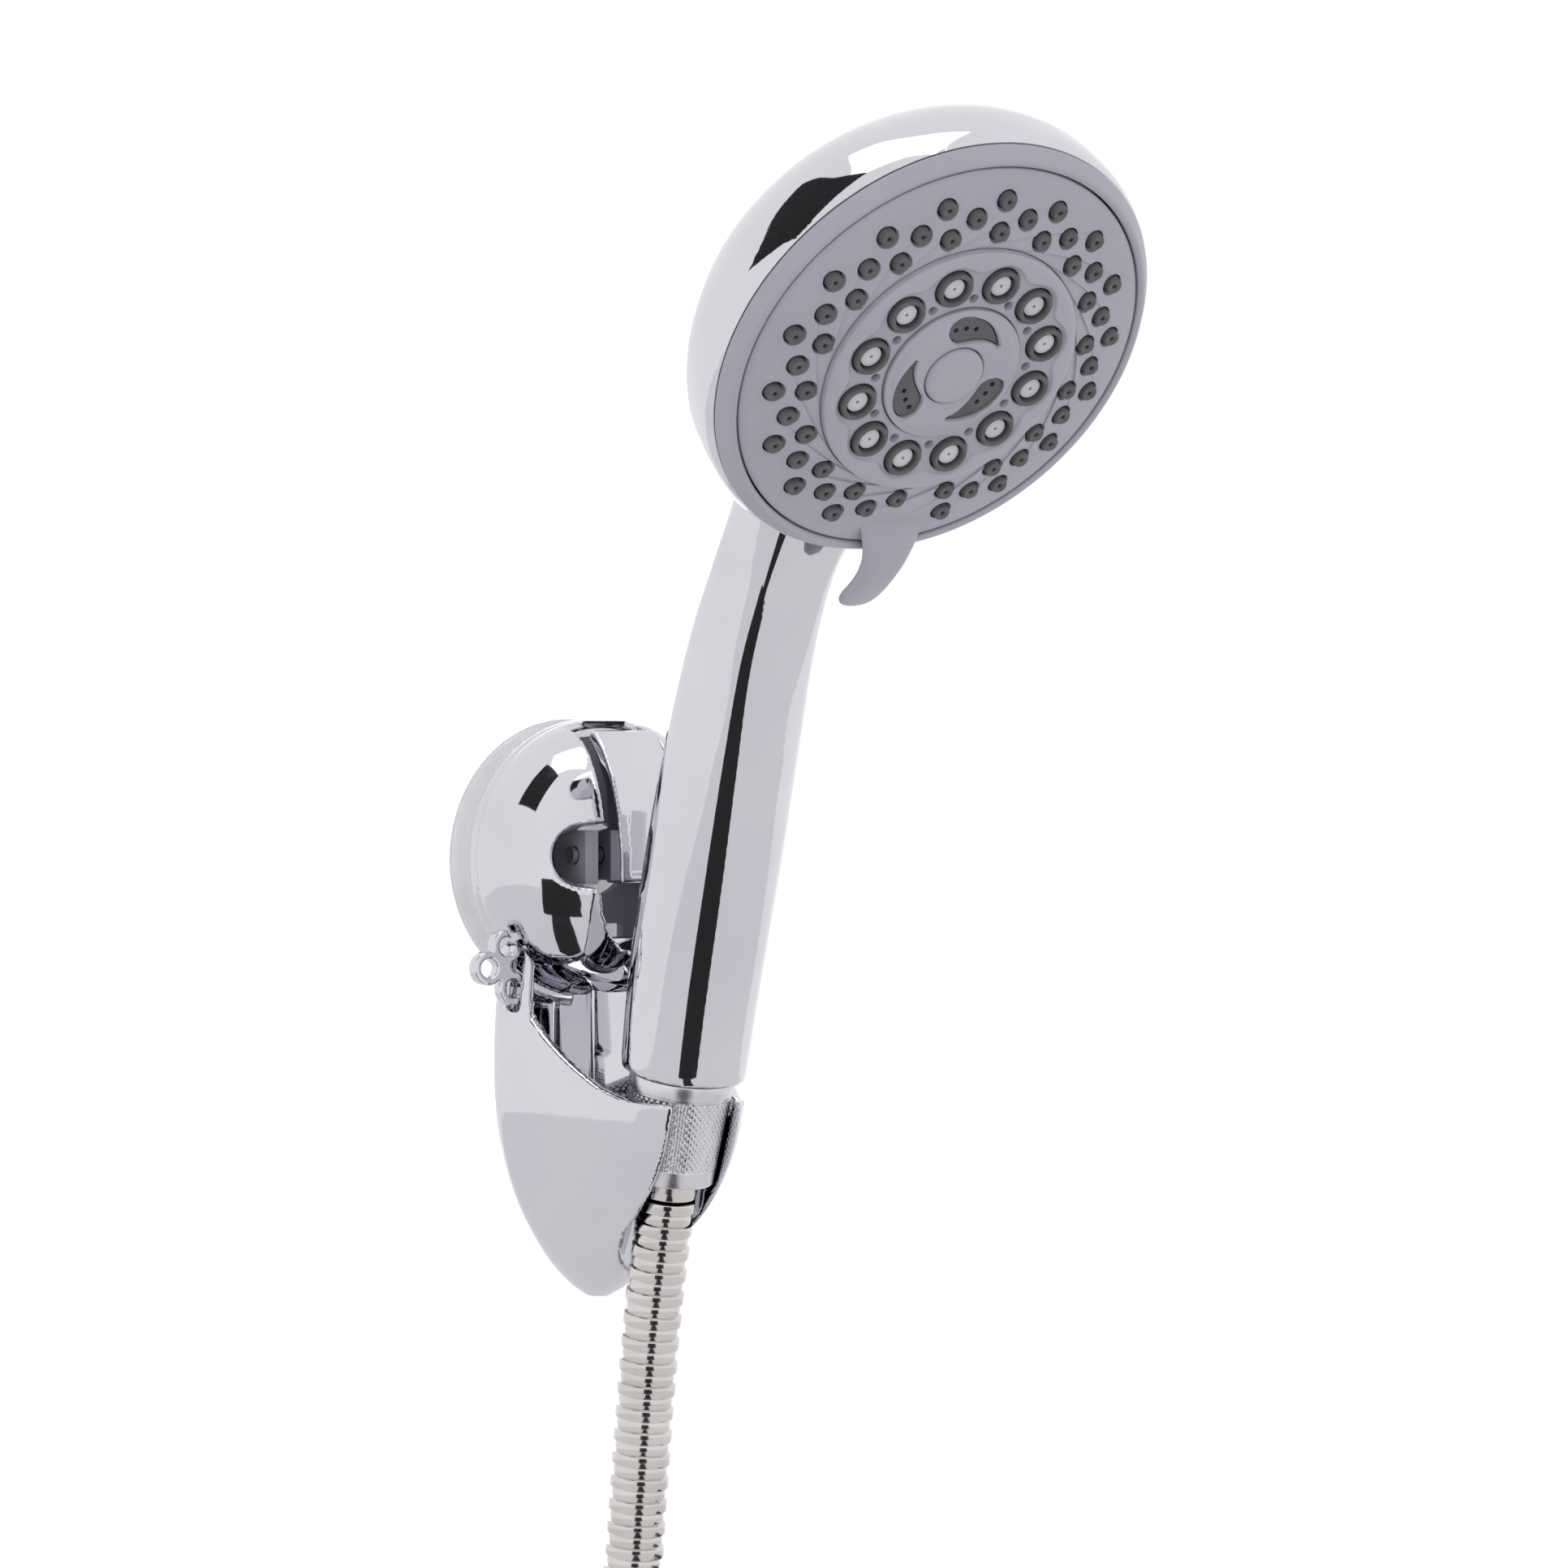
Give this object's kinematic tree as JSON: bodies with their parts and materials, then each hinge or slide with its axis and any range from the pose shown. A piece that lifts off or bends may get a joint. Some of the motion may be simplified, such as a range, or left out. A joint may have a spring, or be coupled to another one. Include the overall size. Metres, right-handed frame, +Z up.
{
  "type": "handheld shower head on a suction bracket",
  "caption": "Handheld shower head with a turning spray face and chrome handle, resting in a suction-lock wall bracket, with its metal hose wound for storage.",
  "frame": {"origin": "centre of the suction cup's flat back, on the wall plane", "axes": "+Z up, +Y into the wall, +X to the right of a person facing the wall"},
  "size_m": [0.1898, 0.1876, 0.5114],
  "materials": {
    "chrome": "bright chrome plate on moulded plastic",
    "satin_metal": "satin chrome with a fine cross-cut knurl",
    "hose_steel": "polished stainless strip wound into an interlocked hose",
    "brass": "machined",
    "grey_plastic": "satin lavender-grey moulding",
    "white_plastic": "moulded",
    "dark_rubber": "soft-touch silicone",
    "black_rubber": "seal rubber",
    "clear_vinyl": "clear soft vinyl"
  },
  "bodies": {
    "bracket": {"suction_cup": "clear_vinyl", "base_dome": "chrome", "base_frame": "grey_plastic", "lever_axle": "hose_steel", "peel_lug": "chrome", "cradle": "chrome"},
    "stud": {"pull_stud": "white_plastic"},
    "lever": {"suction_lever": "chrome"},
    "hose": {"hose_ferrule": "hose_steel", "hose_tube": "hose_steel", "hose_coil": "hose_steel", "coil_tie_upper": "black_rubber", "coil_tie_lower": "black_rubber", "hose_tail": "hose_steel", "wall_end_ferrule": "hose_steel", "wall_end_washer": "black_rubber"},
    "wall_nut": {"wall_end_nut": "satin_metal"},
    "handset": {"handset_shell": "chrome", "handle_waterway": "white_plastic", "inlet_thread": "brass", "inlet_filter": "hose_steel", "flow_restrictor": "grey_plastic", "hose_washer": "black_rubber", "hose_nut": "satin_metal", "bezel_ring": "grey_plastic", "manifold_plate": "white_plastic", "head_o_ring": "black_rubber", "diverter_seal": "black_rubber"},
    "selector": {"face_plate": "grey_plastic", "nozzle_mat": "dark_rubber", "mid_ring": "grey_plastic", "massage_mat": "dark_rubber", "massage_pins": "white_plastic", "centre_disc": "grey_plastic", "comma_insert": "dark_rubber", "centre_cap": "grey_plastic", "centre_screw": "hose_steel", "spray_chamber": "white_plastic", "face_pivot": "white_plastic", "diverter_disc": "white_plastic"},
    "turbine": {"massage_turbine": "white_plastic"}
  },
  "joints": [
    {"name": "suction_lever_turn", "type": "hinge", "parent": "bracket", "child": "lever", "pos_m": [0, -0.025, 0.001], "axis": [1, 0, 0], "range_deg": [0, 50]},
    {"name": "stud_pull", "type": "slide", "parent": "bracket", "child": "stud", "axis": [0, -1, 0], "range_m": [-0.0026, 0]},
    {"name": "handset_lift", "type": "slide", "parent": "bracket", "child": "hose", "axis": [0, -0.225, 0.9744], "range_m": [0, 0.04]},
    {"name": "handset_swivel", "type": "hinge", "parent": "hose", "child": "handset", "pos_m": [0, -0.0515, -0.05], "axis": [0, -0.225, 0.9744], "range_deg": [-90, 90]},
    {"name": "spray_selector", "type": "hinge", "parent": "handset", "child": "selector", "pos_m": [0, -0.16011, 0.10925], "axis": [0, -0.7869, -0.617], "range_deg": [-30, 30]},
    {"name": "turbine_spin", "type": "hinge", "parent": "selector", "child": "turbine", "pos_m": [0, -0.16011, 0.10925], "axis": [0, -0.7869, -0.617], "continuous": true},
    {"name": "wall_nut_turn", "type": "hinge", "parent": "hose", "child": "wall_nut", "pos_m": [-0.04377, -0.058, -0.28988], "axis": [-0.5, 0, -0.866], "continuous": true}
  ],
  "couplings": [
    {"joint": "stud_pull", "follows": "suction_lever_turn", "m_per_rad": -0.002865}
  ]
}
